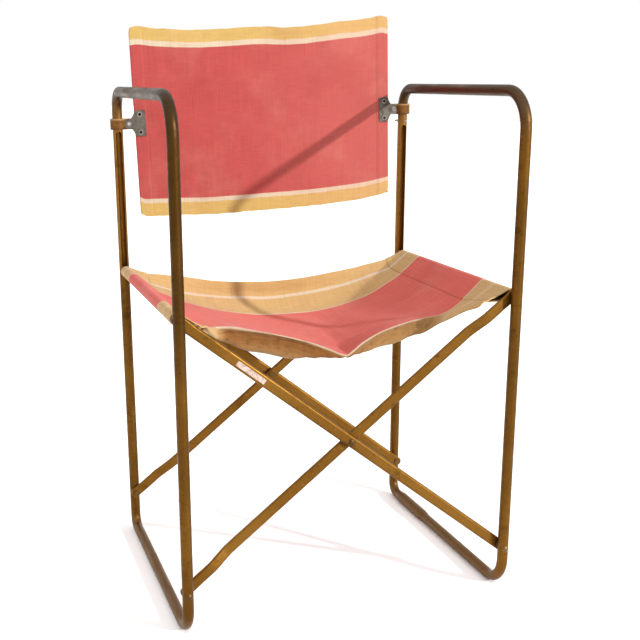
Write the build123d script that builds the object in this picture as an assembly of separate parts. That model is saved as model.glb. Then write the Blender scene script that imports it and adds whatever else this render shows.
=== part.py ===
from build123d import *
from math import cos, hypot, radians, sin, atan2, degrees
import os

# Folding garden chair: two closed side frames of round tube, a pair of crossed bars at the front and
# another at the back, a canvas seat on two rails, and a canvas back strapped to the rear uprights.
# Millimetres. X runs across the chair, -Y is the front, Z is up, and Z 0 is the floor.

# Driving dimensions
HALF_WIDTH = 244.0  # middle of the chair to a leg's axis, along X
HALF_DEPTH = 204.0  # middle of the chair to a leg's axis, along Y
ARM_Z = 736.0  # axis of the armrest run
SEAT_Z = 455.0  # axis of the seat rails
PIVOT_Z = 69.0  # axis of the crossed bars' lower pivots

# Side frame tube
TUBE_R = 8.0
TUBE_BORE_R = 6.8
WEAR_FLAT = 0.3  # depth worn off the underside of the floor runs
FLOOR_RUN_Z = TUBE_R - WEAR_FLAT
FRONT_TOP_BEND = 52.0
REAR_TOP_BEND = 32.0
FRONT_FOOT_BEND = 42.0
REAR_FOOT_BEND = 19.0
JOINT_GAP = 0.4
LEFT_JOINT_Y = 50.0  # where the left tube's two ends meet on the floor run, over a plug
PLUG_HALF_LENGTH = 30.0
PLUG_BORE_R = 4.6
PLUG_RIVET_R = 1.6
PLUG_RIVET_HEAD_R = 2.9
PLUG_RIVET_HEAD_HEIGHT = 1.1
PLUG_RIVET_AHEAD = 8.0  # from the joint to the rivet
PLUG_RIVET_TURN = 40.0  # degrees, from straight up towards the chair's middle
RIGHT_JOINT_Y = 112.0  # where the right tube's two ends meet, in a swollen socket
SLEEVE_R = 9.8
SLEEVE_FRONT_Y = 64.0
SLEEVE_REAR_Y = 176.0
SLEEVE_TAPER = 14.0
SLOT_WIDTH = 9.0
SLOT_LOW_Z = 443.0
SLOT_HIGH_Z = 676.0

# Crossed bars, of flattened tube
BAR_WIDTH = 16.0
BAR_THICKNESS = 7.0
BAR_WALL = 1.2
BAR_LAYER_Y = 192.0  # middle of the outer pair's thickness
INNER_LAYER_Y = 184.0  # middle of the inner pair's thickness, past its cranks
TONGUE_THICKNESS = 4.0  # where the ends are hammered flat
TONGUE_Y = 193.0
TONGUE_LENGTH = 12.0
TONGUE_TAPER = 12.0
CRANK_START = 50.0
CRANK_END = 80.0
CRANK_BEND = 40.0

# Seat rails and the studs that slide in the leg slots
RAIL_R = 7.0
RAIL_BORE_R = 5.8
STUD_R = 3.8
STUD_DISC_R = 6.0
STUD_DISC_THICKNESS = 3.0
STUD_SPIGOT_LENGTH = 18.0

# Rivets and washers
RIVET_R = 3.0
RUNNING_CLEARANCE = 0.06
RIVET_HEAD_R = 5.2
RIVET_HEAD_HEIGHT = 2.4
RIVET_TAIL_R = 4.6
RIVET_TAIL_THICKNESS = 1.6
WASHER_R = 6.4
WASHER_SIDE_GAP = 0.05

# Seat canvas
SEAT_HALF_DEPTH = 187.0
SEAT_SAG = 72.0
CANVAS_THICKNESS = 1.2
SLEEVE_CLEARANCE = 0.3
SLEEVE_LEAVE = 62.0  # degrees up the sleeve where the sheet leaves it

# Canvas back, drawn square and then turned to hang lower on the left
BACK_HALF_WIDTH = 217.0
BACK_HALF_HEIGHT = 145.0
BACK_CENTRE_Z = 696.0
BACK_LEAN = 2.0  # degrees, raises the right side
HEM_WIDTH = 22.0
HEM_THICKNESS = 3.8
HEM_FADE = 5.0
BATTEN_WIDTH = 12.0
BATTEN_THICKNESS = 2.0
BATTEN_HALF_LENGTH = 141.0
BATTEN_CLEARANCE = 0.1
HEM_RIVET_X = 208.7
HEM_RIVET_SPREAD = 13.7
STRAP_RIVET_X = 226.4
PLATE_DROP = 1.2  # how far the plates' middle lies under the canvas middle
PLATE_THICKNESS = 1.2
PLATE_INNER_Y = 2.0  # half of what the two plates clamp
PLATE_HALF_HEIGHT = 20.0
PLATE_INNER_X = 26.4
PLATE_CORNER_X = 10.5
PLATE_NOSE_R = 8.0
PLATE_NECK_X = 3.5  # where the round nose turns into the hollow flanks
FLANK_HOLLOW_X = 1.2
FLANK_HOLLOW_Z = 0.7
HEM_RIVET_R = 2.4
HEM_RIVET_BORE_R = 1.3
HEM_RIVET_FLANGE_R = 3.9
STRAP_RIVET_R = 2.2
STRAP_RIVET_FLANGE_R = 3.6
FLANGE_THICKNESS = 0.8

# Leather straps round the rear uprights
STRAP_HEIGHT = 17.0
STRAP_THICKNESS = 1.9
STRAP_BORE_R = 9.7
STRAP_TAIL_X = 221.4

# Pin that keeps the right strap from sliding down
STOP_PIN_Z = 683.0
STOP_PIN_R = 1.8
STOP_PIN_HEAD_R = 3.0
STOP_PIN_TURN = 18.0  # degrees from straight back
STOP_PIN_BACK = 17.0

# Paper label on the front outer bar
LABEL_LENGTH = 49.0
LABEL_WIDTH = 7.5
LABEL_THICKNESS = 0.25
LABEL_ALONG = 0.798  # share of the bar's length, from its lower pivot
LABEL_DROP = 0.7  # towards the bar's lower edge

BAR_RISE = SEAT_Z - PIVOT_Z
BAR_LENGTH = hypot(2 * HALF_WIDTH, BAR_RISE)
BAR_ANGLE = degrees(atan2(BAR_RISE, 2 * HALF_WIDTH))
CROSSING_Z = (SEAT_Z + PIVOT_Z) / 2
TONGUE_INNER_Y = TONGUE_Y - TONGUE_THICKNESS / 2
TONGUE_OUTER_Y = TONGUE_Y + TONGUE_THICKNESS / 2
LEG_FACE_Y = HALF_DEPTH - TUBE_R
BACK_PLACE = Location((0, HALF_DEPTH, BACK_CENTRE_Z), (0, -BACK_LEAN, 0))
EXTRA = 10.0  # how far a cutting solid runs past what it cuts


def cylinder_y(radius, low_y, high_y, x=0.0, z=0.0):
    """A round bar along Y."""
    disc = Plane((x, low_y, z), z_dir=(0, 1, 0)) * Circle(radius)
    return extrude(disc, high_y - low_y)


def dome_y(radius, height, base_y, x, z):
    """A rivet's rounded head, standing on base_y and pointing along +Y."""
    ball_r = (radius**2 + height**2) / (2 * height)
    ball = Pos(x, base_y + height - ball_r, z) * Sphere(ball_r)
    return ball & cylinder_y(ball_r, base_y, base_y + height, x, z)


def front_of(shape):
    """The same piece at the front, from the one made at the back."""
    return mirror(shape, about=Plane.XZ)


def left_of(shape):
    """The same piece on the left, from the one made on the right."""
    return mirror(shape, about=Plane.YZ)


def side_tube(radius, x, joint_y):
    """The closed loop of one side frame, as a solid round bar."""
    path = FilletPolyline(
        (x, joint_y - JOINT_GAP / 2, FLOOR_RUN_Z),
        (x, -HALF_DEPTH, FLOOR_RUN_Z),
        (x, -HALF_DEPTH, ARM_Z),
        (x, HALF_DEPTH, ARM_Z),
        (x, HALF_DEPTH, FLOOR_RUN_Z),
        (x, joint_y + JOINT_GAP / 2, FLOOR_RUN_Z),
        radius=[FRONT_FOOT_BEND, FRONT_TOP_BEND, REAR_TOP_BEND, REAR_FOOT_BEND],
    )
    start = Plane(path @ 0, z_dir=path % 0)
    return sweep(start * Circle(radius), path)


def below_floor():
    """Everything under the floor, for the worn undersides."""
    span = 4 * HALF_DEPTH
    return Pos(0, 0, -EXTRA / 2) * Box(span, span, EXTRA)


def leg_slot(x):
    """The long slot in a rear leg's front wall."""
    centre = (x, HALF_DEPTH, (SLOT_LOW_Z + SLOT_HIGH_Z) / 2)
    face = Plane(centre, x_dir=(0, 0, 1), z_dir=(0, -1, 0))
    return extrude(face * SlotOverall(SLOT_HIGH_Z - SLOT_LOW_Z, SLOT_WIDTH), TUBE_R + EXTRA)


def side_frame(x, joint_y):
    """One bent tube with its slots and pivot holes."""
    tube = side_tube(TUBE_R, x, joint_y) - side_tube(TUBE_BORE_R, x, joint_y)
    slot = leg_slot(x)
    holes = cylinder_y(RIVET_R, -HALF_DEPTH - EXTRA, HALF_DEPTH + EXTRA, x, PIVOT_Z)
    return tube - below_floor() - slot - front_of(slot) - holes


def joint_plug():
    """The short tube inside the left floor run, across the joint."""
    low = LEFT_JOINT_Y - PLUG_HALF_LENGTH
    high = LEFT_JOINT_Y + PLUG_HALF_LENGTH
    outside = cylinder_y(TUBE_BORE_R - RUNNING_CLEARANCE, low, high, -HALF_WIDTH, FLOOR_RUN_Z)
    return outside - cylinder_y(PLUG_BORE_R, low, high, -HALF_WIDTH, FLOOR_RUN_Z)


def joint_rivet():
    """The small rivet that holds the plug, driven in from above on the inner side."""
    shank = cylinder_y(PLUG_RIVET_R, PLUG_BORE_R, TUBE_R)
    head = dome_y(PLUG_RIVET_HEAD_R, PLUG_RIVET_HEAD_HEIGHT, TUBE_R - WEAR_FLAT, 0, 0)
    tube = Cylinder(TUBE_R, 4 * PLUG_RIVET_HEAD_R)
    upright = Rot(90, 0, 0) * (shank + (head - tube))
    turned = Rot(0, PLUG_RIVET_TURN, 0) * upright
    return Pos(-HALF_WIDTH, LEFT_JOINT_Y + PLUG_RIVET_AHEAD, FLOOR_RUN_Z) * turned


def joint_sleeve(x):
    """The swollen socket that joins the right tube's two ends on the floor run."""
    profile = Polyline(
        (0, SLEEVE_FRONT_Y),
        (TUBE_R + WEAR_FLAT, SLEEVE_FRONT_Y),
        (SLEEVE_R, SLEEVE_FRONT_Y + SLEEVE_TAPER),
        (SLEEVE_R, SLEEVE_REAR_Y - SLEEVE_TAPER),
        (TUBE_R + WEAR_FLAT, SLEEVE_REAR_Y),
        (0, SLEEVE_REAR_Y),
        close=True,
    )
    swelling = Pos(x, 0, FLOOR_RUN_Z) * revolve(make_face(profile), Axis.Y)
    bore = cylinder_y(TUBE_R, 0, HALF_DEPTH, x, FLOOR_RUN_Z)
    return swelling - bore - below_floor()


def bar_section(along, y, thickness, inset=0.0):
    """The flattened tube's outline, square to the bar."""
    place = Plane((along, y, 0), x_dir=(0, 0, 1), z_dir=(1, 0, 0))
    return place * SlotOverall(BAR_WIDTH - 2 * inset, thickness - 2 * inset)


def bar_end():
    """A bar's hammered end, with its round tip about the pivot and the swell into the tube."""
    blank = extrude(bar_section(-BAR_WIDTH / 2, TONGUE_Y, TONGUE_THICKNESS), TONGUE_LENGTH + BAR_WIDTH / 2)
    tip = cylinder_y(BAR_WIDTH / 2, TONGUE_INNER_Y, TONGUE_OUTER_Y)
    straight = Pos(TONGUE_LENGTH / 2, TONGUE_Y, 0) * Box(TONGUE_LENGTH, TONGUE_THICKNESS, BAR_WIDTH)
    tongue = blank & (tip + straight)
    flat = bar_section(TONGUE_LENGTH, TONGUE_Y, TONGUE_THICKNESS)
    full = bar_section(TONGUE_LENGTH + TONGUE_TAPER, BAR_LAYER_Y, BAR_THICKNESS)
    return tongue + loft([flat, full])


def bar_tube(cranked):
    """The hollow length of a bar between its two hammered ends."""
    first = TONGUE_LENGTH + TONGUE_TAPER
    last = BAR_LENGTH - first
    if cranked:
        path = FilletPolyline(
            (first, BAR_LAYER_Y),
            (CRANK_START, BAR_LAYER_Y),
            (CRANK_END, INNER_LAYER_Y),
            (BAR_LENGTH - CRANK_END, INNER_LAYER_Y),
            (BAR_LENGTH - CRANK_START, BAR_LAYER_Y),
            (last, BAR_LAYER_Y),
            radius=CRANK_BEND,
        )
    else:
        path = Line((first, BAR_LAYER_Y), (last, BAR_LAYER_Y))
    outside = sweep(bar_section(first, BAR_LAYER_Y, BAR_THICKNESS), path)
    return outside - sweep(bar_section(first, BAR_LAYER_Y, BAR_THICKNESS, BAR_WALL), path)


def cross_bar(cranked):
    """A rear bar lying along +X, with its lower pivot at the origin and its stud hole at the far end."""
    far_end = Pos(BAR_LENGTH, 0, 0) * mirror(bar_end(), about=Plane.YZ)
    bar = bar_tube(cranked) + bar_end() + far_end
    middle_r = RIVET_R + RUNNING_CLEARANCE if cranked else RIVET_R
    holes = ((0, RIVET_R + RUNNING_CLEARANCE), (BAR_LENGTH / 2, middle_r), (BAR_LENGTH, STUD_R))
    for along, radius in holes:
        bar -= cylinder_y(radius, INNER_LAYER_Y - EXTRA, TONGUE_Y + EXTRA, along)
    return bar


def raised(bar):
    """A bar leaned from the left foot up to the right seat rail."""
    return Location((-HALF_WIDTH, 0, PIVOT_Z), (0, -BAR_ANGLE, 0)) * bar


def seat_rail(x):
    """A round tube under the canvas sleeve, from the front bar to the rear bar."""
    outside = cylinder_y(RAIL_R, -TONGUE_INNER_Y, TONGUE_INNER_Y, x, SEAT_Z)
    return outside - cylinder_y(RAIL_BORE_R, -TONGUE_INNER_Y, TONGUE_INNER_Y, x, SEAT_Z)


def slider_stud(x):
    """A rear stud: spigot in the rail, shank through bar and slot, disc inside the leg."""
    disc_low = HALF_DEPTH - STUD_DISC_THICKNESS / 2
    spigot = cylinder_y(RAIL_BORE_R, TONGUE_INNER_Y - STUD_SPIGOT_LENGTH, TONGUE_INNER_Y, x, SEAT_Z)
    shank = cylinder_y(STUD_R, TONGUE_INNER_Y, disc_low, x, SEAT_Z)
    disc = cylinder_y(STUD_DISC_R, disc_low, disc_low + STUD_DISC_THICKNESS, x, SEAT_Z)
    return spigot + shank + disc


def through_rivet(x, z, low_y, high_y):
    """A rivet along Y, with a flat tail under low_y and a domed head over high_y."""
    tail = cylinder_y(RIVET_TAIL_R, low_y - RIVET_TAIL_THICKNESS, low_y, x, z)
    shank = cylinder_y(RIVET_R, low_y, high_y, x, z)
    return tail + shank + dome_y(RIVET_HEAD_R, RIVET_HEAD_HEIGHT, high_y, x, z)


def washer(x, z, low_y, high_y):
    """A flat ring that keeps two turning pieces apart."""
    low = low_y + WASHER_SIDE_GAP
    high = high_y - WASHER_SIDE_GAP
    ring = cylinder_y(WASHER_R, low, high, x, z)
    return ring - cylinder_y(RIVET_R + RUNNING_CLEARANCE, low, high, x, z)


def pivot_rivet(x):
    """Through a rear leg and the foot of a bar, seated on the round outside of the tube."""
    seat_y = HALF_DEPTH + TUBE_R - WEAR_FLAT
    rivet = through_rivet(x, PIVOT_Z, TONGUE_INNER_Y - WASHER_SIDE_GAP, seat_y)
    leg = Pos(x, HALF_DEPTH, PIVOT_Z) * Cylinder(TUBE_R, 2 * BAR_WIDTH)
    shank = cylinder_y(RIVET_R, TONGUE_INNER_Y - WASHER_SIDE_GAP, seat_y, x, PIVOT_Z)
    return (rivet - leg) + shank


def seat_canvas():
    """A sagging sheet between two sleeves that run round the rails."""
    hole_r = RAIL_R + SLEEVE_CLEARANCE
    outer_r = hole_r + CANVAS_THICKNESS
    leave = radians(SLEEVE_LEAVE)
    top_x = HALF_WIDTH - outer_r * cos(leave)
    top_z = SEAT_Z + outer_r * sin(leave)
    low_x = HALF_WIDTH - hole_r * cos(leave)
    low_z = SEAT_Z + hole_r * sin(leave)
    middle_z = SEAT_Z - SEAT_SAG
    sheet = Plane.XZ * make_face(
        [
            ThreePointArc((-top_x, top_z), (0, middle_z + CANVAS_THICKNESS), (top_x, top_z)),
            Line((top_x, top_z), (low_x, low_z)),
            ThreePointArc((low_x, low_z), (0, middle_z), (-low_x, low_z)),
            Line((-low_x, low_z), (-top_x, top_z)),
        ]
    )
    canvas = extrude(sheet, SEAT_HALF_DEPTH, both=True)
    for x in (-HALF_WIDTH, HALF_WIDTH):
        canvas += cylinder_y(outer_r, -SEAT_HALF_DEPTH, SEAT_HALF_DEPTH, x, SEAT_Z)
    for x in (-HALF_WIDTH, HALF_WIDTH):
        canvas -= cylinder_y(hole_r, -HALF_DEPTH, HALF_DEPTH, x, SEAT_Z)
    return canvas


def back_canvas():
    """A flat cloth with a thick doubled hem down each side, hollow for the battens."""
    hem_start = BACK_HALF_WIDTH - HEM_WIDTH
    half_hem = HEM_THICKNESS / 2
    half_cloth = CANVAS_THICKNESS / 2
    quarter = [
        (hem_start - HEM_FADE, half_cloth),
        (hem_start, half_hem),
        (BACK_HALF_WIDTH, half_hem),
    ]
    right = quarter + [(x, -y) for x, y in reversed(quarter)]
    outline = right + [(-x, y) for x, y in reversed(right)]
    section = Plane((0, 0, -BACK_HALF_HEIGHT)) * make_face(Polyline(*outline, close=True))
    cloth = extrude(section, 2 * BACK_HALF_HEIGHT)
    pocket_width = BATTEN_WIDTH + 2 * BATTEN_CLEARANCE
    pocket_thickness = BATTEN_THICKNESS + 2 * BATTEN_CLEARANCE
    rivet_r = HEM_RIVET_R + BATTEN_CLEARANCE
    for side in (-1, 1):
        x = side * HEM_RIVET_X
        cloth -= Pos(x, 0, 0) * Box(pocket_width, pocket_thickness, 4 * BACK_HALF_HEIGHT)
        for z in (-HEM_RIVET_SPREAD, HEM_RIVET_SPREAD):
            cloth -= cylinder_y(rivet_r, -EXTRA, EXTRA, x, z - PLATE_DROP)
    return BACK_PLACE * cloth


def batten():
    """The flat steel strip in the right hem."""
    strip = Pos(HEM_RIVET_X, 0, 0) * Box(BATTEN_WIDTH, BATTEN_THICKNESS, 2 * BATTEN_HALF_LENGTH)
    for z in (-HEM_RIVET_SPREAD, HEM_RIVET_SPREAD):
        strip -= cylinder_y(HEM_RIVET_R, -EXTRA, EXTRA, HEM_RIVET_X, z - PLATE_DROP)
    return strip


def plate():
    """The right rear fishtail plate: a square edge on the canvas, hollow flanks, a round nose."""
    neck_x = PLATE_NECK_X
    neck_z = (PLATE_NOSE_R**2 - neck_x**2) ** 0.5
    flank_x = (PLATE_CORNER_X + neck_x) / 2 + FLANK_HOLLOW_X
    flank_z = (PLATE_HALF_HEIGHT + neck_z) / 2 - FLANK_HOLLOW_Z
    outline = make_face(
        [
            Line((PLATE_INNER_X, -PLATE_HALF_HEIGHT), (PLATE_INNER_X, PLATE_HALF_HEIGHT)),
            Line((PLATE_INNER_X, PLATE_HALF_HEIGHT), (PLATE_CORNER_X, PLATE_HALF_HEIGHT)),
            ThreePointArc((PLATE_CORNER_X, PLATE_HALF_HEIGHT), (flank_x, flank_z), (neck_x, neck_z)),
            ThreePointArc((neck_x, neck_z), (-PLATE_NOSE_R, 0), (neck_x, -neck_z)),
            ThreePointArc((neck_x, -neck_z), (flank_x, -flank_z), (PLATE_CORNER_X, -PLATE_HALF_HEIGHT)),
            Line((PLATE_CORNER_X, -PLATE_HALF_HEIGHT), (PLATE_INNER_X, -PLATE_HALF_HEIGHT)),
        ]
    )
    place = Plane((STRAP_RIVET_X, PLATE_INNER_Y, -PLATE_DROP), x_dir=(-1, 0, 0), z_dir=(0, 1, 0))
    sheet = extrude(place * outline, PLATE_THICKNESS)
    for z in (-HEM_RIVET_SPREAD, HEM_RIVET_SPREAD):
        sheet -= cylinder_y(HEM_RIVET_R, 0, EXTRA, HEM_RIVET_X, z - PLATE_DROP)
    return sheet - cylinder_y(STRAP_RIVET_R, 0, EXTRA, STRAP_RIVET_X, -PLATE_DROP)


def tubular_rivet(x, z, radius, flange_r):
    """A hollow rivet through both plates, rolled over on each face."""
    face_y = PLATE_INNER_Y + PLATE_THICKNESS
    top_y = face_y + FLANGE_THICKNESS
    rivet = cylinder_y(radius, -face_y, face_y, x, z)
    rivet += cylinder_y(flange_r, face_y, top_y, x, z)
    rivet += cylinder_y(flange_r, -top_y, -face_y, x, z)
    return rivet - cylinder_y(HEM_RIVET_BORE_R, -top_y, top_y, x, z)


def hem_rivets():
    """The two hollow rivets through plates, canvas and batten, as one group."""
    return Compound(
        [
            tubular_rivet(HEM_RIVET_X, z - PLATE_DROP, HEM_RIVET_R, HEM_RIVET_FLANGE_R)
            for z in (-HEM_RIVET_SPREAD, HEM_RIVET_SPREAD)
        ]
    )


def strap_rivet():
    """The rivet that clamps the strap's two ends between the plates."""
    return tubular_rivet(STRAP_RIVET_X, -PLATE_DROP, STRAP_RIVET_R, STRAP_RIVET_FLANGE_R)


def hung(side, shape):
    """A piece of the right end of the back, put in place on its own side."""
    return BACK_PLACE * (shape if side > 0 else left_of(shape))


def strap_height(side):
    """Where the strap rivet ends up once the back has taken its lean."""
    lean = radians(BACK_LEAN)
    return BACK_CENTRE_Z - PLATE_DROP * cos(lean) + side * STRAP_RIVET_X * sin(lean)


def strap(side):
    """A leather loop round the upright, with both ends brought together as a tongue."""
    base = Plane((0, 0, strap_height(side) - STRAP_HEIGHT / 2))
    tongue_length = HALF_WIDTH - STRAP_TAIL_X
    loop = Pos(side * HALF_WIDTH, HALF_DEPTH) * Circle(STRAP_BORE_R + STRAP_THICKNESS)
    tongue_x = side * (HALF_WIDTH - tongue_length / 2)
    tongue = Pos(tongue_x, HALF_DEPTH) * Rectangle(tongue_length, 2 * PLATE_INNER_Y)
    bore = Pos(side * HALF_WIDTH, HALF_DEPTH) * Circle(STRAP_BORE_R)
    leather = extrude(base * (loop + tongue - bore), STRAP_HEIGHT)
    lean = radians(BACK_LEAN)
    rivet_x = side * STRAP_RIVET_X * cos(lean) + PLATE_DROP * sin(lean)
    return leather - cylinder_y(STRAP_RIVET_R, 0, HALF_DEPTH + EXTRA, rivet_x, strap_height(side))


def stop_pin():
    """A small headed pin through the right rear upright, its tail standing out behind."""
    body = cylinder_y(STOP_PIN_R, -TUBE_R, STOP_PIN_BACK)
    head = mirror(dome_y(STOP_PIN_HEAD_R, STOP_PIN_R, TUBE_R - WEAR_FLAT, 0, 0), about=Plane.XZ)
    return Location((HALF_WIDTH, HALF_DEPTH, STOP_PIN_Z), (0, 0, STOP_PIN_TURN)) * (body + head)


def label():
    """A plain paper label on the front face of the outer front bar."""
    tilt = radians(BAR_ANGLE)
    x = HALF_WIDTH * (1 - 2 * LABEL_ALONG) - LABEL_DROP * sin(tilt)
    z = PIVOT_Z + BAR_RISE * LABEL_ALONG - LABEL_DROP * cos(tilt)
    y = -(BAR_LAYER_Y + BAR_THICKNESS / 2 + LABEL_THICKNESS / 2)
    return Location((x, y, z), (0, BAR_ANGLE, 0)) * Box(LABEL_LENGTH, LABEL_THICKNESS, LABEL_WIDTH)


def build():
    """Every piece by name."""
    inner = raised(cross_bar(cranked=True))
    outer = left_of(raised(cross_bar(cranked=False)))
    pin = stop_pin()
    joint_pin = joint_rivet()
    layer_outer = BAR_LAYER_Y + BAR_THICKNESS / 2
    layer_between = BAR_LAYER_Y - BAR_THICKNESS / 2
    layer_inner = INNER_LAYER_Y - BAR_THICKNESS / 2
    cross_rivet = through_rivet(0, CROSSING_Z, layer_inner - WASHER_SIDE_GAP, layer_outer)
    cross_washer = washer(0, CROSSING_Z, INNER_LAYER_Y + BAR_THICKNESS / 2, layer_between)
    parts = {
        "front_inner_bar": front_of(inner),
        "rear_inner_bar": inner,
        "front_outer_bar": front_of(outer),
        "rear_outer_bar": outer,
        "front_cross_rivet": front_of(cross_rivet),
        "rear_cross_rivet": cross_rivet,
        "front_cross_washer": front_of(cross_washer),
        "rear_cross_washer": cross_washer,
        "seat_canvas": seat_canvas(),
        "back_canvas": back_canvas(),
        "left_side_frame": side_frame(-HALF_WIDTH, LEFT_JOINT_Y) - joint_pin,
        "left_joint_plug": joint_plug() - joint_pin,
        "left_joint_rivet": joint_pin,
        "right_side_frame": side_frame(HALF_WIDTH, RIGHT_JOINT_Y) - pin,
        "right_joint_sleeve": joint_sleeve(HALF_WIDTH),
        "right_stop_pin": pin,
        "bar_label": label(),
    }
    for name, side in (("left", -1), ("right", 1)):
        x = side * HALF_WIDTH
        parts[f"{name}_seat_rail"] = seat_rail(x)
        stud = slider_stud(x)
        rivet = pivot_rivet(x)
        spacer = washer(x, PIVOT_Z, TONGUE_OUTER_Y, LEG_FACE_Y)
        parts[f"rear_{name}_stud"] = stud
        parts[f"front_{name}_stud"] = front_of(stud)
        parts[f"rear_{name}_pivot_rivet"] = rivet
        parts[f"front_{name}_pivot_rivet"] = front_of(rivet)
        parts[f"rear_{name}_pivot_washer"] = spacer
        parts[f"front_{name}_pivot_washer"] = front_of(spacer)
        parts[f"{name}_batten"] = hung(side, batten())
        rear_plate = hung(side, plate())
        front_plate = hung(side, mirror(plate(), about=Plane.XZ))
        parts[f"{name}_rear_plate"] = rear_plate
        parts[f"{name}_front_plate"] = front_plate
        parts[f"{name}_hem_rivets"] = hung(side, hem_rivets())
        parts[f"{name}_strap_rivet"] = hung(side, strap_rivet())
        parts[f"{name}_strap"] = strap(side) - rear_plate - front_plate
    return parts


os.makedirs("parts", exist_ok=True)
for name, shape in build().items():
    export_step(shape, f"parts/{name}.step")
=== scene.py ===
import math

import bpy
import numpy as np
from mathutils import Matrix


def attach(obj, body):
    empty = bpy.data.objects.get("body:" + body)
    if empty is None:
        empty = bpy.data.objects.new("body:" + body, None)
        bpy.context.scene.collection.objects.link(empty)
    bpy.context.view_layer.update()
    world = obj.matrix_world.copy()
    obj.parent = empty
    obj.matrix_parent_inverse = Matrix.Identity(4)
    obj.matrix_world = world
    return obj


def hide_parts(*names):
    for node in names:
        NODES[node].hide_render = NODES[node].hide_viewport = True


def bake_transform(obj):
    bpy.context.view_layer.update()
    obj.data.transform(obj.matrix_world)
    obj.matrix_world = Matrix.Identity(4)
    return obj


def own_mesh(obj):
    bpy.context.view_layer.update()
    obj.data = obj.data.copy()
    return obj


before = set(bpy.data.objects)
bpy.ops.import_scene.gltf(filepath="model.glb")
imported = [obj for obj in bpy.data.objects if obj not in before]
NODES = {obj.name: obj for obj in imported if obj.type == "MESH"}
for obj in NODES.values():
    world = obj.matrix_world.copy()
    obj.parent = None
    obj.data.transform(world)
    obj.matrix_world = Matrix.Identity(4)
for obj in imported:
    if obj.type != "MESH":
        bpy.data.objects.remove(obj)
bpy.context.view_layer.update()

# Places in metres, in the chair's frame: X across, -Y the front, Z up.
RAIL_X, RAIL_Z = 0.244, 0.455
RAIL_RADIUS = 0.0080
CLOTH = 0.0012  # thickness of one layer of canvas

# The seat: its rear edge, its length along the rails, the seams beside its sleeves, the crease where its
# front folds under, and half its length between the seams along the taut rear edge.
REAR_EDGE = 0.187
SEAT_LENGTH = 0.374
SEAM_X = 0.210
CREASE_AT = 0.294
HALF_SPAN = 0.212
SEAT_SEAM_ALLOWANCE = 0.030

# The back: a panel that leans to one side, with a doubled hem down each side for a batten, END_HEMS of
# cloth turned over at its top and foot, a strap at each side, and two rivets through each hem.
BACK_Y, BACK_Z = 0.204, 0.696
BACK_LEAN = math.radians(2.0)
BACK_LENGTH = 0.290
BACK_SEAM = 0.1955
BACK_SEAM_ALLOWANCE = 0.020
END_HEMS = 0.020
STRAP_Z = {"left": 0.6869, "right": 0.7027}
RIVET_X, RIVET_RISE, RIVET_MIDDLE = 0.2087, 0.0137, -0.0012

# The sewing: how far in the hems' stitches run, stitches in a metre, and the pitch of the weave.
HEM_ROW = 0.010
STITCHES = 260.0
THREAD_PITCH = 0.0009
STRIPE_BLUR = 0.0008  # half the softness of a stripe's edge, over the cloth's length
# painted shade inside the rivets' bores and in the holes of the canvas
BORE_SHADE = (0.012, 0.010, 0.009)
HOLE_SHADE = (0.012, 0.008, 0.006)


def add(name, data):
    """A new object in the scene."""
    made = bpy.data.objects.new(name, data)
    bpy.context.scene.collection.objects.link(made)
    return made


# ---------------------------------------------------------------- node materials
class Shade:
    """A node material, with short names for the nodes it needs."""

    def __init__(self, name):
        self.mat = bpy.data.materials.new(name)
        self.mat.use_nodes = True
        self.tree = self.mat.node_tree
        self.bsdf = self.tree.nodes["Principled BSDF"]
        self.coords = self.tree.nodes.new("ShaderNodeTexCoord")

    def put(self, socket, value):
        if isinstance(value, bpy.types.NodeSocket):
            self.tree.links.new(value, socket)
        else:
            if hasattr(value, "__len__") and len(value) == 3 and socket.type == "RGBA":
                value = (*value, 1)
            socket.default_value = value

    def node(self, kind, inputs=(), **props):
        made = self.tree.nodes.new(kind)
        for name, value in props.items():
            setattr(made, name, value)
        for key, value in dict(inputs).items():
            self.put(made.inputs[key], value)
        return made

    def math(self, op, a, b=0.0, clamp=False):
        return self.node("ShaderNodeMath", {0: a, 1: b}, operation=op, use_clamp=clamp).outputs[0]

    def times(self, a, b):
        return self.math("MULTIPLY", a, b)

    def distance(self, a, b):
        return self.node("ShaderNodeVectorMath", {0: a, 1: b}, operation="DISTANCE").outputs["Value"]

    def mix(self, share, a, b, blend="MIX"):
        made = self.node("ShaderNodeMix", data_type="RGBA", blend_type=blend)
        self.put(made.inputs[0], share)
        self.put(made.inputs[6], a)
        self.put(made.inputs[7], b)
        return made.outputs[2]

    def span(self, value, low, high, out_low=0.0, out_high=1.0):
        made = self.node("ShaderNodeMapRange", {0: value, 1: low, 2: high, 3: out_low, 4: out_high})
        made.interpolation_type = "SMOOTHSTEP"
        return made.outputs[0]

    def band(self, value, low, high, soft):
        """One between low and high, and zero outside."""
        up = self.span(value, low - soft, low + soft)
        down = self.span(value, high - soft, high + soft, 1.0, 0.0)
        return self.times(up, down)

    def scaled(self, vector, scale):
        return self.node("ShaderNodeMapping", {0: vector, 3: scale}).outputs[0]

    def noise(self, vector, scale, detail=3.0, rough=0.55, stretch=None):
        if stretch:
            vector = self.scaled(vector, stretch)
        inputs = {"Vector": vector, "Scale": scale, "Detail": detail, "Roughness": rough}
        return self.node("ShaderNodeTexNoise", inputs).outputs["Fac"]

    def xyz(self, vector):
        made = self.node("ShaderNodeSeparateXYZ", {0: vector})
        return made.outputs[0], made.outputs[1], made.outputs[2]

    def bump(self, height, distance, strength=1.0, normal=None):
        inputs = {"Height": height, "Distance": distance, "Strength": strength}
        if normal:
            inputs["Normal"] = normal
        return self.node("ShaderNodeBump", inputs).outputs[0]


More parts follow.
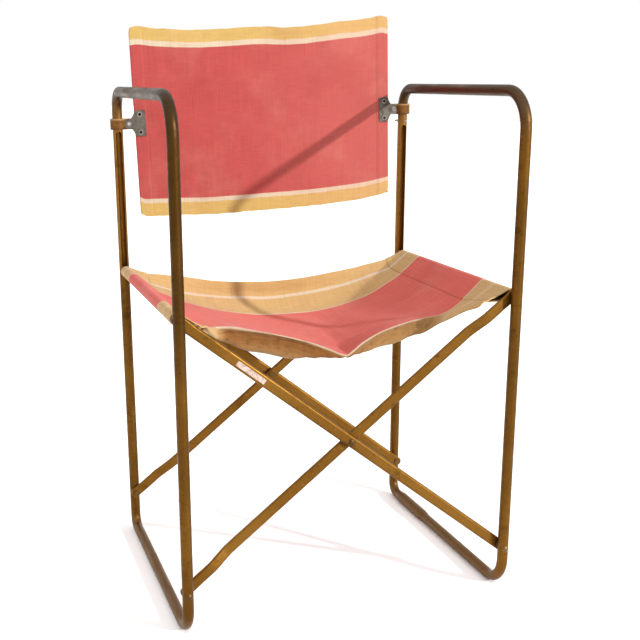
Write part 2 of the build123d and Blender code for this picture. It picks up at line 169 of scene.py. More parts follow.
def bronze(name, base, light, dark, floor_tint=None, arm_tint=None, rub=0.35):
    """Old bronze lacquer on steel: mottled, stained and pitted, and rubbed bright in places."""
    s = Shade(name)
    place = s.coords.outputs["Object"]
    x, y, z = s.xyz(place)
    broad = s.noise(place, 5.0, 5.0, 0.6)
    colour = s.mix(s.span(broad, 0.38, 0.66), base, light)
    if arm_tint:
        colour = s.mix(s.times(s.span(z, 0.66, 0.725), 0.8), colour, arm_tint)
        # the upper part of the front left leg is darker, and the rear uprights are warmer
        aged = s.times(s.span(x, -0.20, -0.23), s.span(y, -0.10, -0.17))
        aged = s.times(aged, s.span(z, 0.35, 0.50))
        colour = s.mix(s.times(aged, 0.62), colour, dark)
        warm = s.times(s.span(y, 0.16, 0.20), s.band(z, 0.46, 0.70, 0.03))
        colour = s.mix(s.times(warm, 0.55), colour, (0.34, 0.155, 0.030))
    if floor_tint:
        colour = s.mix(s.times(s.span(z, 0.035, 0.015), 0.75), colour, floor_tint)
    drawn = s.scaled(place, (1, 0.2, 1))  # marks are drawn out from front to back
    stain = s.noise(drawn, 60.0, 7.0, 0.7)
    colour = s.mix(s.times(s.span(stain, 0.54, 0.70), 0.45), colour, dark)
    pits = s.noise(drawn, 420.0, 4.0, 0.6)
    colour = s.mix(s.times(s.span(pits, 0.58, 0.70), 0.6), colour, dark)
    rubbed = s.noise(drawn, 95.0, 5.0, 0.7)
    bare = s.times(s.span(rubbed, 0.60, 0.72), rub)
    colour = s.mix(bare, colour, [min(1.0, 1.7 * c + 0.03) for c in light])
    s.put(s.bsdf.inputs["Base Color"], colour)
    s.bsdf.inputs["Metallic"].default_value = 0.95
    s.bsdf.inputs["Specular IOR Level"].default_value = 0.25
    s.put(s.bsdf.inputs["Roughness"], s.span(stain, 0.3, 0.7, 0.33, 0.58))
    height = s.math("ADD", s.times(pits, 0.5), rubbed)
    s.put(s.bsdf.inputs["Normal"], s.bump(height, 0.0004, 0.35))
    return s.mat


def steel(name, base, dark, rust, rust_share=0.4, metal=0.85, low=0.28, high=0.5, eyes=()):
    """Dull plated steel. The eyes are places (x, z) round a rivet's bore, darkened there with painted shade.
    """
    s = Shade(name)
    place = s.coords.outputs["Object"]
    cloud = s.noise(place, 60.0, 5.0, 0.6)
    colour = s.mix(s.span(cloud, 0.38, 0.64), base, dark)
    spots = s.noise(place, 240.0, 5.0, 0.7)
    colour = s.mix(s.times(s.span(spots, 0.54, 0.68), rust_share), colour, rust)
    if eyes:
        x, _, z = s.xyz(place)
        level = s.node("ShaderNodeCombineXYZ", {0: x, 2: z}).outputs[0]
    # painted shade: each rivet's bore is darkened round its eye
    for eye_x, eye_z in eyes:
        near = s.span(s.distance(level, (eye_x, 0, eye_z)), 0.0028, 0.0021)
        colour = s.mix(near, colour, BORE_SHADE)
    s.put(s.bsdf.inputs["Base Color"], colour)
    s.bsdf.inputs["Metallic"].default_value = metal
    s.put(s.bsdf.inputs["Roughness"], s.span(cloud, 0.3, 0.7, low, high))
    s.put(s.bsdf.inputs["Normal"], s.bump(spots, 0.0003, 0.4))
    return s.mat


def leather(name, strap_z):
    """Tan strap leather, darker low down and rubbed pale along the top edge."""
    s = Shade(name)
    place = s.coords.outputs["Object"]
    _, _, z = s.xyz(place)
    cloud = s.noise(place, 90.0, 5.0, 0.6)
    colour = s.mix(s.span(cloud, 0.35, 0.7), (0.100, 0.032, 0.002), (0.150, 0.060, 0.004))
    crack = s.noise(place, 500.0, 4.0, 0.7, (1, 1, 0.35))
    colour = s.mix(s.times(s.span(crack, 0.56, 0.68), 0.6), colour, (0.040, 0.014, 0.004))
    edge = s.band(z, strap_z + 0.0060, strap_z + 0.02, 0.0012)
    colour = s.mix(s.times(edge, 0.7), colour, (0.36, 0.21, 0.09))
    foot = s.band(z, strap_z - 0.02, strap_z - 0.0065, 0.0012)
    colour = s.mix(s.times(foot, 0.6), colour, (0.050, 0.018, 0.005))
    s.put(s.bsdf.inputs["Base Color"], colour)
    s.bsdf.inputs["Roughness"].default_value = 0.52
    s.bsdf.inputs["Specular IOR Level"].default_value = 0.2
    grain = s.node("ShaderNodeTexVoronoi", {"Vector": place, "Scale": 900.0}).outputs["Distance"]
    s.put(s.bsdf.inputs["Normal"], s.bump(s.math("ADD", grain, crack), 0.0003, 0.5))
    return s.mat


def canvas(name, bands, length, seam, fold=None, seam_dark=0.55, stitched=0.5, faded=0.0, holes=()):
    """Striped cotton canvas. The UV map holds metres across and metres along the cloth. The bands are
    (start, colour), past the fold the folded lip gets painted shade, and the holes are places (u, v) given
    painted shade."""
    s = Shade(name)
    uv = s.coords.outputs["UV"]
    u, v, _ = s.xyz(uv)
    wander = s.noise(uv, 30.0, 3.0)
    drift = s.times(s.math("SUBTRACT", wander, 0.5), 0.0016)
    along = s.math("DIVIDE", s.math("ADD", v, drift), length, clamp=True)
    ramp = s.node("ShaderNodeValToRGB")
    ramp.color_ramp.interpolation = "LINEAR"
    stops = ramp.color_ramp.elements
    stops[0].position, stops[0].color = 0.0, (*bands[0][1], 1)
    stops[1].position, stops[1].color = 1.0, (*bands[-1][1], 1)
    for (_, before), (start, after) in zip(bands, bands[1:]):
        for step, tint in ((-STRIPE_BLUR, before), (STRIPE_BLUR, after)):
            stop = stops.new(start / length + step)
            stop.color = (*tint, 1)
    s.put(ramp.inputs[0], along)
    colour = ramp.outputs[0]
    # slubs: threads a little paler or darker, running both ways
    weft = s.noise(uv, 1.0, 3.0, 0.65, (34, 900, 1))
    warp = s.noise(uv, 1.0, 3.0, 0.65, (900, 14, 1))
    threads = s.math("ADD", s.times(weft, 0.5), s.times(warp, 0.5))
    colour = s.mix(s.span(threads, 0.50, 0.62, 0.0, 0.40), colour, (0.80, 0.68, 0.60), "SOFT_LIGHT")
    colour = s.mix(s.span(threads, 0.50, 0.38, 0.0, 0.24), colour, (0.42, 0.22, 0.20), "MULTIPLY")
    # fading and soiling
    cloud = s.noise(uv, 9.0, 5.0, 0.62)
    colour = s.mix(s.span(cloud, 0.45, 0.75, 0.0, 0.16), colour, (0.58, 0.30, 0.22))
    dull = s.noise(uv, 5.0, 4.0, 0.6)
    colour = s.mix(s.span(dull, 0.45, 0.70, 0.0, 0.30), colour, (0.62, 0.42, 0.40), "MULTIPLY")
    soil = s.noise(uv, 55.0, 5.0, 0.7)
    colour = s.mix(s.span(soil, 0.60, 0.80, 0.0, 0.35), colour, (0.20, 0.07, 0.03))
    # seams and stitches
    side = s.math("ABSOLUTE", u)
    crease = s.band(side, seam - 0.0006, seam + 0.0006, 0.0005)
    inside = s.band(v, 0.004, length - 0.004, 0.001)
    colour = s.mix(s.times(s.times(crease, inside), seam_dark), colour, (0.13, 0.02, 0.015))
    down_dash, across_dash = (s.span(s.math("FRACT", s.times(at, STITCHES)), 0.28, 0.36) for at in (v, u))
    rows = [(side, seam - 0.0030, down_dash), (side, seam + 0.0032, down_dash)]
    rows += [(v, HEM_ROW, across_dash), (v, length - HEM_ROW, across_dash)]
    stitch = 0.0
    for at, row, dash in rows:
        line = s.band(at, row - 0.0003, row + 0.0003, 0.0003)
        stitch = s.math("ADD", stitch, s.times(line, dash))
    thread = s.mix(0.6, colour, (0.42, 0.24, 0.10))
    colour = s.mix(s.math("MULTIPLY", stitch, stitched, clamp=True), colour, thread)
    if fold:
        # painted shade on the lip under the crease, darkest near its top, and deeper in its puckers
        lip = s.span(v, fold - 0.001, fold + 0.005)
        lip = s.times(lip, s.span(v, fold + 0.012, fold + 0.045, 1.0, 0.60))
        lip = s.times(lip, s.span(u, 0.0, 0.06, 1.0, 0.7))
        lip = s.times(lip, s.span(side, 0.180, 0.150))
        colour = s.mix(lip, colour, (0.39, 0.23, 0.09), "MULTIPLY")
        pucker_shade = s.span(s.noise(uv, 1.0, 4.0, 0.7, (70, 190, 1)), 0.50, 0.66, 0.0, 0.55)
        colour = s.mix(s.times(lip, pucker_shade), colour, (0.30, 0.17, 0.07), "MULTIPLY")
    if faded:
        colour = s.mix(s.span(u, -0.10, 0.19, 0.0, faded), colour, (0.58, 0.19, 0.15))
        damp = s.times(s.band(v, 0.165, 0.215, 0.035), s.span(s.noise(uv, 11.0, 3.0), 0.44, 0.60))
        colour = s.mix(s.times(damp, 0.30), colour, (0.82, 0.55, 0.52), "MULTIPLY")
    for hole_u, hole_v in holes:
        near = s.span(s.distance(uv, (hole_u, hole_v, 0)), 0.0024, 0.0018)
        colour = s.mix(near, colour, HOLE_SHADE)
    s.put(s.bsdf.inputs["Base Color"], colour)
    s.bsdf.inputs["Roughness"].default_value = 0.92
    s.bsdf.inputs["Specular IOR Level"].default_value = 0.25
    s.bsdf.inputs["Sheen Weight"].default_value = 0.08
    s.bsdf.inputs["Sheen Roughness"].default_value = 0.6
    across, down = (s.math("SINE", s.times(at, 2 * math.pi / THREAD_PITCH)) for at in (u, v))
    weave = s.times(s.times(across, down), 0.35)
    relief = s.math("ADD", s.math("ADD", weave, threads), s.times(stitch, 0.8))
    fine = s.bump(relief, 0.00025, 0.6)
    crumple = s.noise(uv, 26.0, 4.0, 0.6, (1, 1.6, 1))
    s.put(s.bsdf.inputs["Normal"], s.bump(crumple, 0.0016, 0.5, fine))
    return s.mat


def paper(name):
    """A pale label, stained and partly torn, with nothing on it."""
    s = Shade(name)
    place = s.coords.outputs["Object"]
    wear = s.noise(place, 130.0, 6.0, 0.75)
    colour = s.mix(s.span(wear, 0.42, 0.62), (0.47, 0.36, 0.31), (0.30, 0.17, 0.12))
    torn = s.noise(place, 420.0, 5.0, 0.7)
    colour = s.mix(s.times(s.span(torn, 0.57, 0.63), 0.8), colour, (0.07, 0.045, 0.03))
    s.put(s.bsdf.inputs["Base Color"], colour)
    s.bsdf.inputs["Roughness"].default_value = 0.7
    s.put(s.bsdf.inputs["Normal"], s.bump(wear, 0.0002, 0.5))
    return s.mat


def ground(name):
    """A matt floor, very nearly white."""
    s = Shade(name)
    grain = s.noise(s.coords.outputs["Object"], 6.0, 3.0)
    s.put(s.bsdf.inputs["Base Color"], s.mix(grain, (0.93, 0.93, 0.93), (0.96, 0.96, 0.955)))
    s.bsdf.inputs["Roughness"].default_value = 0.95
    s.bsdf.inputs["Specular IOR Level"].default_value = 0.0
    return s.mat


def leaned(x, z):
    """A place on the back, from its middle, as (x, z) in the chair's frame."""
    return (
        x * math.cos(BACK_LEAN) - z * math.sin(BACK_LEAN),
        BACK_Z + x * math.sin(BACK_LEAN) + z * math.cos(BACK_LEAN),
    )


FRAME_PAINT = bronze(
    "bronze_frame", (0.108, 0.046, 0.0065), (0.160, 0.071, 0.010), (0.032, 0.015, 0.004),
    floor_tint=(0.160, 0.082, 0.030), arm_tint=(0.068, 0.045, 0.026),
)
BAR_PAINT = bronze(
    "bronze_bar", (0.155, 0.068, 0.010), (0.205, 0.096, 0.016), (0.045, 0.022, 0.006), rub=0.25,
)
RIVET_PAINT = bronze(
    "bronze_rivet", (0.09, 0.046, 0.014), (0.17, 0.10, 0.040), (0.03, 0.016, 0.008), rub=0.7,
)
BARE_STEEL = steel("bare_steel", (0.34, 0.30, 0.26), (0.18, 0.14, 0.11), (0.10, 0.045, 0.02))
GREY_STEEL = steel(
    "grey_steel", (0.125, 0.108, 0.088), (0.060, 0.049, 0.039), (0.05, 0.03, 0.02),
    rust_share=0.5, metal=0.9, low=0.34, high=0.55,
)
RIVET_SPOTS = [
    (side * RIVET_X, RIVET_MIDDLE + rise) for side in (-1, 1) for rise in (-RIVET_RISE, RIVET_RISE)
]
PLATED = steel(
    "plated_rivet", (0.31, 0.285, 0.26), (0.17, 0.15, 0.13), (0.12, 0.08, 0.05),
    rust_share=0.5, metal=0.9, low=0.22, high=0.42, eyes=[leaned(x, z) for x, z in RIVET_SPOTS],
)
LEATHER = {side: leather(f"tan_leather_{side}", STRAP_Z[side]) for side in ("left", "right")}
LABEL_PAPER = paper("label_paper")

# The dyes, brighter on the seat than on the faded back.
RED = (0.500, 0.082, 0.061)
BACK_RED = (0.325, 0.046, 0.041)
OCHRE = (0.430, 0.268, 0.104)
BACK_OCHRE = (0.415, 0.275, 0.078)
CREAM = (0.500, 0.395, 0.285)
BACK_CREAM = (0.460, 0.375, 0.265)
FAINT = (0.470, 0.325, 0.165)
SEAT_BANDS = [
    (0.0, OCHRE), (0.0215, CREAM), (0.0265, OCHRE), (0.068, CREAM), (0.0705, RED),
    (0.2925, CREAM), (0.2955, OCHRE), (0.325, FAINT), (0.334, OCHRE),
]
BACK_BANDS = [
    (0.0, BACK_OCHRE), (0.0210, BACK_CREAM), (0.0280, BACK_RED), (0.2635, BACK_CREAM), (0.2710, BACK_OCHRE),
]
SEAT_CANVAS = canvas("striped_canvas_seat", SEAT_BANDS, SEAT_LENGTH, SEAM_X, fold=CREASE_AT)
BACK_CANVAS = canvas(
    "striped_canvas_back", BACK_BANDS, BACK_LENGTH, BACK_SEAM, seam_dark=0.15, stitched=0.22, faded=0.16,
    holes=[(x, z + BACK_LENGTH / 2) for x, z in RIVET_SPOTS],
)


# ---------------------------------------------------------------- cloth shapes
def smooth(t):
    t = np.clip(t, 0, 1)
    return t * t * (3 - 2 * t)


def curve(points, at):
    """A smooth line through a few (place, value) points, flat past both ends."""
    xs, ys = np.array(points, float).T
    at = np.clip(at, xs[0], xs[-1])
    slope = np.diff(ys) / np.diff(xs)
    before, after = slope[:-1], slope[1:]
    level = before * after <= 0
    inner = np.where(level, 0.0, 2 * before * after / np.where(level, 1.0, before + after))
    tangent = np.concatenate([[slope[0]], inner, [slope[-1]]])
    i = np.clip(np.searchsorted(xs, at) - 1, 0, len(xs) - 2)
    h = xs[i + 1] - xs[i]
    t = (at - xs[i]) / h
    return (
        (1 + 2 * t) * (1 - t) ** 2 * ys[i]
        + t * (1 - t) ** 2 * h * tangent[i]
        + t * t * (3 - 2 * t) * ys[i + 1]
        + t * t * (t - 1) * h * tangent[i + 1]
    )


def ripple(a, b, seed, octaves=3, fall=0.5):
    """Smooth repeatable unevenness between -1 and 1, from a few crossing waves."""
    rng = np.random.default_rng(seed)
    total, weight, size = 0.0, 0.0, 1.0
    for octave in range(octaves):
        for _ in range(5):
            angle = rng.uniform(0, 2 * math.pi)
            pitch = rng.uniform(0.7, 1.4) * 2**octave
            phase = rng.uniform(0, 2 * math.pi)
            wave = np.sin(2 * math.pi * pitch * (a * math.cos(angle) + b * math.sin(angle)) + phase)
            total = total + size * wave
            weight += size * 0.6
        size *= fall
    return total / weight


def cloth(name, points, half, uv, material):
    """A closed thin mesh, half a thickness to each side of a grid of points."""
    rows, columns = points.shape[:2]
    along = np.gradient(points, axis=0)
    across = np.gradient(points, axis=1)
    normal = np.cross(along, across)
    normal /= np.linalg.norm(normal, axis=2, keepdims=True) + 1e-12
    top = points + normal * half[..., None]
    low = points - normal * half[..., None]
    verts = np.concatenate([top.reshape(-1, 3), low.reshape(-1, 3)])
    shift = rows * columns
    where = np.arange(shift).reshape(rows, columns)
    a, b, c, d = where[:-1, :-1], where[1:, :-1], where[1:, 1:], where[:-1, 1:]
    upper = np.stack([a, b, c, d], -1).reshape(-1, 4)
    under = np.stack([d, c, b, a], -1).reshape(-1, 4) + shift
    rim = np.concatenate([where[0, :], where[1:, -1], where[-1, -2::-1], where[-2:0:-1, 0]])
    after = np.roll(rim, -1)
    side = np.stack([rim, after, after + shift, rim + shift], -1)
    faces = np.concatenate([upper, under, side])
    mesh = bpy.data.meshes.new(name)
    mesh.from_pydata(verts.tolist(), [], faces.tolist())
    layer = mesh.uv_layers.new(name="cloth")
    flat = uv.reshape(-1, 2)
    both = np.concatenate([flat, flat])
    loops = np.empty(len(mesh.loops), np.int32)
    mesh.loops.foreach_get("vertex_index", loops)
    layer.data.foreach_set("uv", both[loops].astype(np.float32).ravel())
    mesh.materials.append(material)
    mesh.polygons.foreach_set("use_smooth", np.ones(len(mesh.polygons), bool))
    mesh.set_sharp_from_angle(angle=math.radians(50))
    mesh.update()
    return add(name, mesh)


# The seat between its seams: distance along the cloth from the rear edge, how far the middle is drawn
# back, and the height across the chair.
STATIONS = [
    (0.0, 0.0, [
        (-0.210, 0.4490), (-0.150, 0.4406), (-0.096, 0.4305), (-0.051, 0.4260), (0.003, 0.4235),
        (0.040, 0.4250), (0.116, 0.4330), (0.184, 0.4430), (0.210, 0.4485),
    ]),
    (0.024, 0.020, [
        (-0.210, 0.4370), (-0.180, 0.4250), (-0.145, 0.4145), (-0.100, 0.4055), (-0.054, 0.3997),
        (0.0, 0.3962), (0.047, 0.3985), (0.112, 0.4087), (0.177, 0.4265), (0.210, 0.4375),
    ]),
    (0.070, 0.020, [
        (-0.210, 0.4345), (-0.190, 0.4250), (-0.161, 0.4110), (-0.090, 0.3885), (-0.012, 0.3770),
        (0.046, 0.3768), (0.096, 0.3840), (0.158, 0.4040), (0.190, 0.4225), (0.210, 0.4355),
    ]),
    (0.130, 0.018, [
        (-0.210, 0.4340), (-0.190, 0.4250), (-0.160, 0.4130), (-0.100, 0.3920), (-0.050, 0.3775),
        (0.0, 0.3715), (0.050, 0.3730), (0.100, 0.3840), (0.155, 0.4040), (0.190, 0.4230),
        (0.210, 0.4350),
    ]),
    (0.240, 0.010, [
        (-0.210, 0.4335), (-0.190, 0.4235), (-0.150, 0.4145), (-0.100, 0.3985), (-0.050, 0.3815),
        (0.0, 0.3690), (0.030, 0.3665), (0.060, 0.3755), (0.110, 0.3950), (0.150, 0.4065),
        (0.190, 0.4220), (0.210, 0.4345),
    ]),
    (CREASE_AT, 0.006, [
        (-0.210, 0.4325), (-0.193, 0.4230), (-0.152, 0.4194), (-0.112, 0.4107), (-0.084, 0.4038),
        (-0.035, 0.3886), (0.001, 0.3735), (0.019, 0.3650), (0.028, 0.3626), (0.036, 0.3670),
        (0.053, 0.3794), (0.082, 0.3942), (0.114, 0.4036), (0.138, 0.4090), (0.172, 0.4122),
        (0.187, 0.4175), (0.210, 0.4335),
    ]),
]
# Past the crease the cloth runs on flat by this much before it folds under, and rises at this angle.
FLAT_RUN = [
    (-0.206, 0.084), (-0.198, 0.062), (-0.188, 0.034), (-0.178, 0.012), (-0.168, 0.0), (0.140, 0.0),
    (0.152, 0.010), (0.165, 0.030), (0.180, 0.050), (0.195, 0.069), (0.206, 0.084),
]
RISE = [
    (-0.210, 0.12), (-0.196, 0.22), (-0.175, 0.05), (-0.160, 0.0), (0.135, 0.0), (0.160, 0.20),
    (0.182, 0.34), (0.210, 0.18),
]
# The two lips: where they meet, and how far each hangs down at a distance from there.
LIP_MEET = 0.027
LEFT_LIP = [
    (0.0, 0.0016), (0.010, 0.0050), (0.028, 0.0105), (0.050, 0.0175), (0.094, 0.0280),
    (0.144, 0.0265), (0.186, 0.0170), (0.212, 0.0070), (0.240, 0.0050),
]
RIGHT_LIP = [
    (0.0, 0.0016), (0.009, 0.0050), (0.028, 0.0140), (0.060, 0.0210), (0.079, 0.0226),
    (0.115, 0.0180), (0.138, 0.0080), (0.185, 0.0050),
]
LIP_TURN = 1.13  # the cloth's way down a lip, over the height it hangs


def lip_height(x):
    """How far the folded front lip hangs down, two lenses that meet just right of the middle."""
    lens = RIGHT_LIP if x > LIP_MEET else LEFT_LIP
    return curve(lens, np.array([abs(x - LIP_MEET)]))[0]


def front_band(x, along):
    """(forward, up) of the band past the crease: level for a while, then tucked in under the crease,
    bellied out a little, and folded under to the hem."""
    run = curve(FLAT_RUN, np.array([x]))[0]
    rise = curve(RISE, np.array([x]))[0]
    drop = lip_height(x) * LIP_TURN
    tuck = float(smooth((0.165 - x) / 0.04) * smooth((x + 0.195) / 0.04))
    # the cloth's angle below level, in degrees, at shares of the way down
    turns = [
        (0.0, 140 * tuck), (0.22, 115 * tuck + 30 * (1 - tuck)), (0.60, 66.0), (0.90, 88.0), (1.25, 176.0),
    ]
    fine = np.linspace(0, along[-1] + 1e-6, 800)
    angle = np.interp((fine - run) / drop, *np.array(turns).T)
    angle = np.where(fine < run, -math.degrees(rise), angle)
    angle = np.radians(np.convolve(np.pad(angle, 4, "edge"), np.ones(9) / 9, "valid"))
    step = fine[1] - fine[0]
    ahead_by = np.concatenate([[0], np.cumsum(np.cos(angle[:-1]) * step)])
    down_by = np.concatenate([[0], np.cumsum(np.sin(angle[:-1]) * step)])
    return np.interp(along, fine, ahead_by), -np.interp(along, fine, down_by)


SEAM_GAP = 0.0016  # between the two layers at the seam
SEAT_COLUMNS, SEAT_ROWS_BEHIND, SEAT_ROWS_BEYOND = 191, 121, 61  # the mesh, behind and beyond the crease


def sleeve_section(seam_z):
    """The cloth's way round one rail, from the top of the seam back to its underside."""
    radius = RAIL_RADIUS
    sx, sz = SEAM_X - RAIL_X, seam_z - RAIL_Z
    reach = math.hypot(sx, sz)
    middle = math.atan2(sz, sx) % (2 * math.pi)
    half = math.acos(radius / reach)
    high, low = middle - half, middle + half - 2 * math.pi
    tangent = math.sqrt(reach**2 - radius**2)
    wrap = radius * (high - low)
    distance = np.concatenate([
        np.linspace(0.0025, tangent, 14),
        tangent + np.linspace(0, wrap, 26)[1:],
        tangent + wrap + np.linspace(0, tangent - 0.0015, 14)[1:],
    ])
    xs, zs = np.empty_like(distance), np.empty_like(distance)
    for i, d in enumerate(distance):
        if d <= tangent:
            t = d / tangent
            xs[i] = sx + t * (radius * math.cos(high) - sx)
            zs[i] = sz + t * (radius * math.sin(high) - sz)
        elif d <= tangent + wrap:
            a = high - (d - tangent) / radius
            xs[i], zs[i] = radius * math.cos(a), radius * math.sin(a)
        else:
            t = (d - tangent - wrap) / tangent
            xs[i] = radius * math.cos(low) + t * (sx - radius * math.cos(low))
            zs[i] = radius * math.sin(low) + t * (sz - SEAM_GAP - radius * math.sin(low))
    return distance, RAIL_X + xs, RAIL_Z + zs


def build_seat():
    """The seat with its sleeves as one sheet, and its flat size."""
    main_x = np.linspace(-SEAM_X, SEAM_X, SEAT_COLUMNS)
    behind = np.linspace(0, CREASE_AT, SEAT_ROWS_BEHIND)
    beyond = np.linspace(CREASE_AT, SEAT_LENGTH, SEAT_ROWS_BEYOND)[1:]
    v = np.concatenate([behind, beyond])
    main = np.empty((len(main_x), len(v), 3))
    places = [place for place, _, _ in STATIONS]
    for j, x in enumerate(main_x):
        middle = max(0.0, 1 - (x / SEAM_X) ** 2) ** 1.5
        heights = [curve(profile, np.array([x]))[0] for _, _, profile in STATIONS]
        pull = curve([(place, back * middle) for place, back, _ in STATIONS], behind)
        ys = REAR_EDGE - behind + pull
        zs = curve(list(zip(places, heights)), behind)
        forward, up = front_band(x, beyond - CREASE_AT)
        ys = np.concatenate([ys, ys[-1] - forward])
        zs = np.concatenate([zs, zs[-1] + up])
        main[j] = np.stack([np.full_like(ys, x), ys, zs], -1)
    # The sleeves start at the seams and straighten out towards their rear and front ends.
    sides = {}
    for sign in (-1, 1):
        edge = main[-1 if sign > 0 else 0]
        blocks = []
        for _, seam_y, seam_z in edge:
            distance, xs, zs = sleeve_section(seam_z)
            blocks.append(np.stack([sign * xs, np.full_like(xs, seam_y), zs], -1))
        block = np.stack(blocks, 1)
        ys = REAR_EDGE - v
        share = smooth(distance / 0.03)[:, None]
        block[..., 1] = block[..., 1] * (1 - share) + ys[None, :] * share
        sides[sign] = (block, distance)
    right, reach = sides[1]
    left, _ = sides[-1]
    points = np.concatenate([left[::-1], main, right])
    across = np.concatenate([-(SEAM_X + reach)[::-1], main_x, SEAM_X + reach])
    uv = np.stack(np.broadcast_arrays(across[:, None], v[None, :]), -1)
    # small unevenness: broad waves, puckers along the seams and hems, and creases along the folded lips
    a, b = uv[..., 0], uv[..., 1]
    middle = smooth((SEAM_X - 0.004 - np.abs(a)) / 0.03)
    lift = 0.0011 * ripple(a * 9, b * 9, 3) * middle
    near_seam = np.exp(-(((np.abs(a) - SEAM_X + 0.012) / 0.014) ** 2))
    lift += 0.0009 * near_seam * ripple(a * 12, b * 55, 8)
    edge = np.exp(-b / 0.012) + np.exp(-(SEAT_LENGTH - b) / 0.012)
    lift += 0.0008 * edge * ripple(a * 40, b * 20, 12) * middle
    ridge = smooth((np.abs(a) - SEAM_X) / 0.0012) * smooth((SEAM_X + 0.012 - np.abs(a)) / 0.008)
    lift += 0.0007 * ridge
    lip = smooth((b - 0.296) / 0.004) * smooth((0.335 - b) / 0.01) * smooth((0.16 - np.abs(a)) / 0.03)
    rows = np.sin(2 * math.pi * (b - 0.296) / 0.0085 + 2.2 * ripple(a * 7, b * 3, 21))
    lift += 0.0010 * lip * rows * (0.45 + 0.55 * ripple(a * 16, b * 8, 22))
    lift += 0.0011 * lip * ripple(a * 45, b * 14, 23)
    along, over = np.gradient(points, axis=0), np.gradient(points, axis=1)
    normal = np.cross(along, over)
    normal /= np.linalg.norm(normal, axis=2, keepdims=True)
    if normal[len(points) // 2, 20, 2] < 0:
        lift = -lift
    points = points + normal * lift[..., None]
    half = np.full(points.shape[:2], CLOTH / 2)
    hem = smooth((0.011 - b) / 0.0012) + smooth((b - SEAT_LENGTH + 0.011) / 0.0012)
    half += 0.0004 * hem * smooth((0.225 - np.abs(a)) / 0.01)
    seat = cloth("seat_sheet", points, half, uv, SEAT_CANVAS)
    width = 2 * (HALF_SPAN + reach[-1]) + SEAT_SEAM_ALLOWANCE
    return seat, (width, SEAT_LENGTH + END_HEMS)


# ---------------------------------------------------------------- the back
# How far the top and foot edges stand above their straight lines, across the back.
BACK_TOP = [
    (-0.217, -0.002), (-0.208, 0.0), (-0.180, -0.004), (-0.099, -0.0085), (-0.004, -0.0065),
    (0.045, -0.0092), (0.127, -0.0032), (0.185, 0.0012), (0.205, 0.0045), (0.217, 0.0015),
]
BACK_FOOT = [
    (-0.217, 0.001), (-0.207, -0.0035), (-0.150, -0.0055), (-0.090, -0.0088), (0.044, -0.0085),
    (0.148, -0.005), (0.205, 0.0016), (0.217, 0.005),
]
HEM_DEPTH = 0.00125  # from the middle of a hem to its outer layer
EDGE_X = 0.2152  # where a hem's round outer edge starts
BACK_SHEAR = 0.0022
HEM_TUCK = 0.0048  # how far the middle runs into each hem
BACK_COLUMNS, BACK_ROWS, HEM_COLUMNS = 121, 119, 10  # the mesh of the middle and of each side of a hem


def tuck_in(grid, share):
    """The grid with one more column at each end, which runs on into the hem."""
    first = grid[0] + share * (grid[0] - grid[1])
    last = grid[-1] + share * (grid[-1] - grid[-2])
    return np.concatenate([first[None], grid, last[None]])


